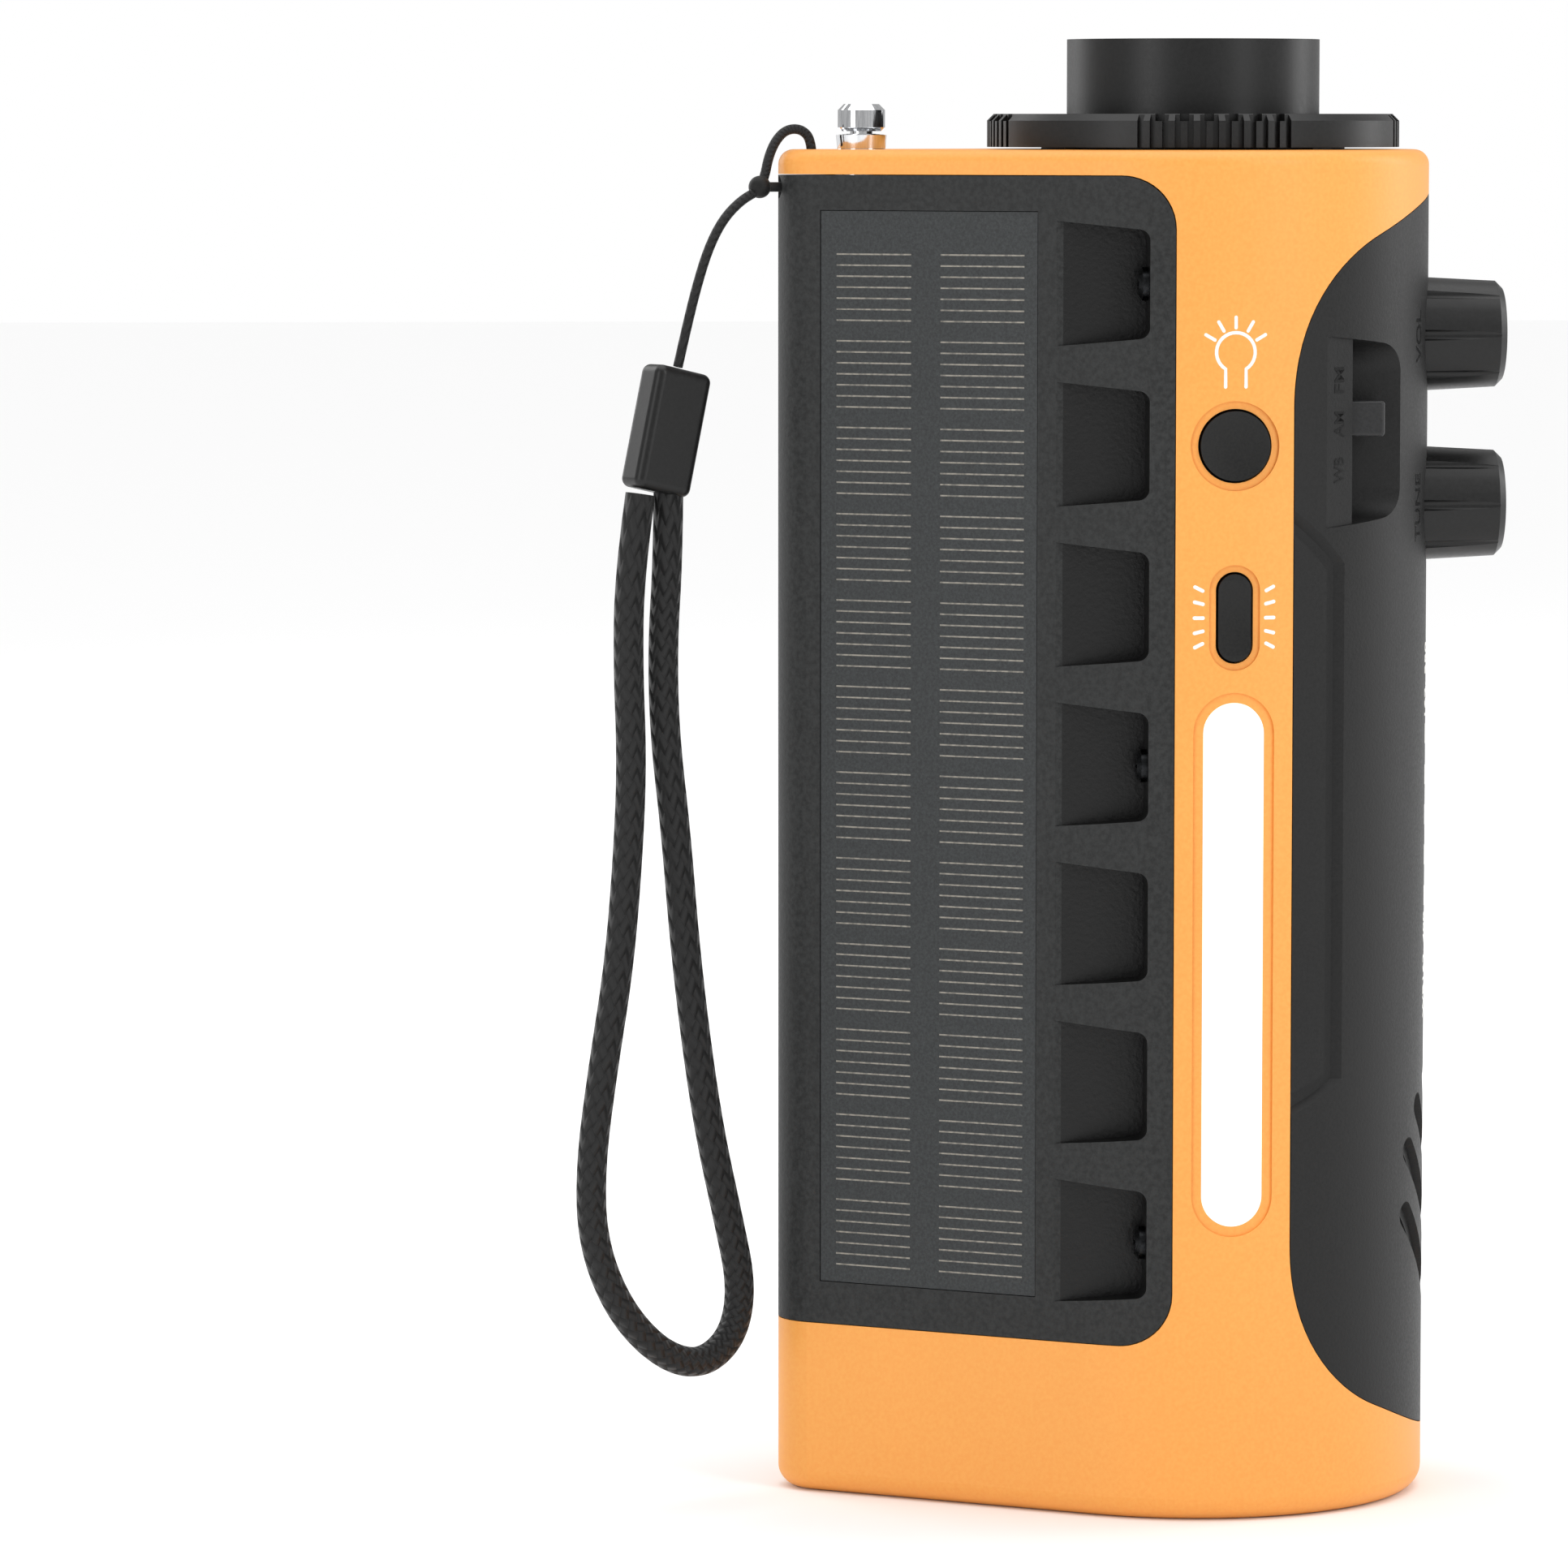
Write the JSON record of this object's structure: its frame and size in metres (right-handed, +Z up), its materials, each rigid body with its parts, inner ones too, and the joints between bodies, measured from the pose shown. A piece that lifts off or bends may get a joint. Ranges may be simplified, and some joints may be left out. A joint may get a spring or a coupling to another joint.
{
  "type": "emergency radio torch",
  "caption": "Teardrop-section emergency torch with radio, folding hand crank, solar panel, side reading lamp, telescopic aerial and wrist cord.",
  "frame": {"origin": "the torch barrel's axis on the base plane", "axes": "+Z up along the barrel, knobs face -Y, reading lamp faces -X, crank on the flat that faces +X and +Y, aerial in the nose at +Y"},
  "size_m": [0.0641, 0.1249, 0.1946],
  "materials": {
    "orange_shell": "satin moulded plastic",
    "black_shell": "fine moulded grain",
    "black_smooth": "smooth",
    "grey_plastic": "moulded",
    "orange_pointer": "moulded",
    "white_lens": "diffusing",
    "clear_lens": "clear",
    "solar_cells": "laminated cells",
    "chrome": "polished",
    "steel": "plated",
    "brass": "turned",
    "board": "solder resist",
    "nylon": "moulded",
    "ferrite": "sintered",
    "copper": "enamelled wire",
    "paper": "pressed paper",
    "cell_wrap": "shrink film",
    "rubber": "soft",
    "cord": "braided"
  },
  "bodies": {
    "case": {"case_shell": "orange_shell", "front_cover": "black_shell", "rear_cover": "black_shell", "cover_screws": "steel", "solar_panel": "solar_cells", "volume_pot": "steel", "tuning_capacitor": "nylon", "dial_frame": "grey_plastic", "dial_cord": "cord", "main_board": "board", "board_screws": "steel", "speaker_basket": "steel", "speaker_cone": "paper", "band_switch": "steel", "light_board": "board", "indicator_lights": "white_lens", "ferrite_rod": "ferrite", "ferrite_coil": "copper", "battery_cell": "cell_wrap", "battery_holder": "black_smooth", "battery_contacts": "steel", "torch_carrier": "grey_plastic", "carrier_screws": "steel", "torch_light": "white_lens", "lamp_lens": "white_lens", "lamp_board": "board", "button_board": "board", "aerial_tube": "chrome", "gearbox_frame": "grey_plastic", "generator": "steel", "sockets": "steel", "strap_thread": "cord", "strap_knot": "cord", "strap_braid": "cord", "strap_slider": "black_smooth"},
    "crank": {"crank_arm": "black_shell", "crank_screw": "steel", "crank_gear": "nylon"},
    "grip_post": {"grip_post": "black_smooth"},
    "grip_sleeve": {"grip_sleeve": "black_smooth"},
    "compound_gear": {"compound_gear": "nylon"},
    "rotor_pinion": {"rotor_pinion": "brass"},
    "volume_knob": {"volume_knob": "black_smooth"},
    "tuning_knob": {"tuning_knob": "black_smooth", "tuning_drum": "nylon"},
    "dial_pointer": {"dial_pointer": "orange_pointer"},
    "dial_idler": {"dial_idler": "nylon"},
    "band_slider": {"band_slider": "grey_plastic"},
    "lamp_button": {"lamp_button": "orange_shell"},
    "sos_button": {"sos_button": "orange_shell"},
    "socket_cover": {"socket_cover": "rubber"},
    "aerial_a": {"aerial_section_a": "chrome"},
    "aerial_b": {"aerial_section_b": "chrome"},
    "aerial_c": {"aerial_section_c": "chrome"},
    "aerial_tip": {"aerial_tip": "chrome"},
    "focus_ring": {"focus_ring": "black_shell", "ring_clip": "nylon"},
    "torch_barrel": {"torch_barrel": "black_smooth", "torch_lens": "clear_lens", "reflector": "chrome"}
  },
  "joints": [
    {"name": "crank_spin", "type": "hinge", "parent": "case", "child": "crank", "pos_m": [0.02511, 0.02026, 0.126], "axis": [0.863, 0.5052, 0], "continuous": true},
    {"name": "grip_fold", "type": "hinge", "parent": "crank", "child": "grip_post", "pos_m": [0.02683, 0.02127, 0.06], "axis": [-0.5052, 0.863, 0], "range_deg": [0, 90]},
    {"name": "grip_spin", "type": "hinge", "parent": "grip_post", "child": "grip_sleeve", "pos_m": [0.02813, 0.02202, 0.085], "axis": [0, 0, 1], "continuous": true},
    {"name": "compound_spin", "type": "hinge", "parent": "case", "child": "compound_gear", "pos_m": [0.02511, 0.02026, 0.108], "axis": [0.863, 0.5052, 0], "continuous": true},
    {"name": "rotor_spin", "type": "hinge", "parent": "case", "child": "rotor_pinion", "pos_m": [0.02511, 0.02026, 0.093], "axis": [0.863, 0.5052, 0], "continuous": true},
    {"name": "volume_turn", "type": "hinge", "parent": "case", "child": "volume_knob", "pos_m": [0.0004, -0.035, 0.1553], "axis": [0, 1, 0], "range_deg": [0, 300]},
    {"name": "tuning_turn", "type": "hinge", "parent": "case", "child": "tuning_knob", "pos_m": [0.0004, -0.035, 0.1326], "axis": [0, 1, 0], "range_deg": [0, 290]},
    {"name": "pointer_slide", "type": "slide", "parent": "case", "child": "dial_pointer", "axis": [0, 0, 1], "range_m": [0, 0.0317]},
    {"name": "idler_spin", "type": "hinge", "parent": "case", "child": "dial_idler", "pos_m": [0.0004, -0.025, 0.0695], "axis": [0, 1, 0], "continuous": true},
    {"name": "band_slide", "type": "slide", "parent": "case", "child": "band_slider", "axis": [0, 0, 1], "range_m": [-0.004, 0]},
    {"name": "lamp_press", "type": "slide", "parent": "case", "child": "lamp_button", "axis": [1, 0, 0], "range_m": [0, 0.0006], "stiffness_N_per_m": 800, "springref_m": -0.0006},
    {"name": "sos_press", "type": "slide", "parent": "case", "child": "sos_button", "axis": [1, 0, 0], "range_m": [0, 0.0006], "stiffness_N_per_m": 800, "springref_m": -0.0006},
    {"name": "socket_cover_hinge", "type": "hinge", "parent": "case", "child": "socket_cover", "pos_m": [0.01589, 0.03363, 0.0268], "axis": [-0.5052, 0.863, 0], "range_deg": [0, 90]},
    {"name": "aerial_slide_a", "type": "slide", "parent": "case", "child": "aerial_a", "axis": [0, 0, 1], "range_m": [0, 0.11]},
    {"name": "aerial_slide_b", "type": "slide", "parent": "aerial_a", "child": "aerial_b", "axis": [0, 0, 1], "range_m": [0, 0.11]},
    {"name": "aerial_slide_c", "type": "slide", "parent": "aerial_b", "child": "aerial_c", "axis": [0, 0, 1], "range_m": [0, 0.11]},
    {"name": "aerial_slide_tip", "type": "slide", "parent": "aerial_c", "child": "aerial_tip", "axis": [0, 0, 1], "range_m": [0, 0.11]},
    {"name": "ring_turn", "type": "hinge", "parent": "case", "child": "focus_ring", "pos_m": [0, 0, 0.18], "axis": [0, 0, 1], "range_deg": [0, 90]},
    {"name": "barrel_slide", "type": "slide", "parent": "case", "child": "torch_barrel", "axis": [0, 0, 1], "range_m": [0, 0.00801]}
  ],
  "couplings": [
    {"joint": "compound_spin", "follows": "crank_spin", "ratio": -5},
    {"joint": "rotor_spin", "follows": "crank_spin", "ratio": 20},
    {"joint": "pointer_slide", "follows": "tuning_turn", "m_per_rad": 0.00625},
    {"joint": "idler_spin", "follows": "tuning_turn", "ratio": 1},
    {"joint": "barrel_slide", "follows": "ring_turn", "m_per_rad": 0.005093}
  ]
}
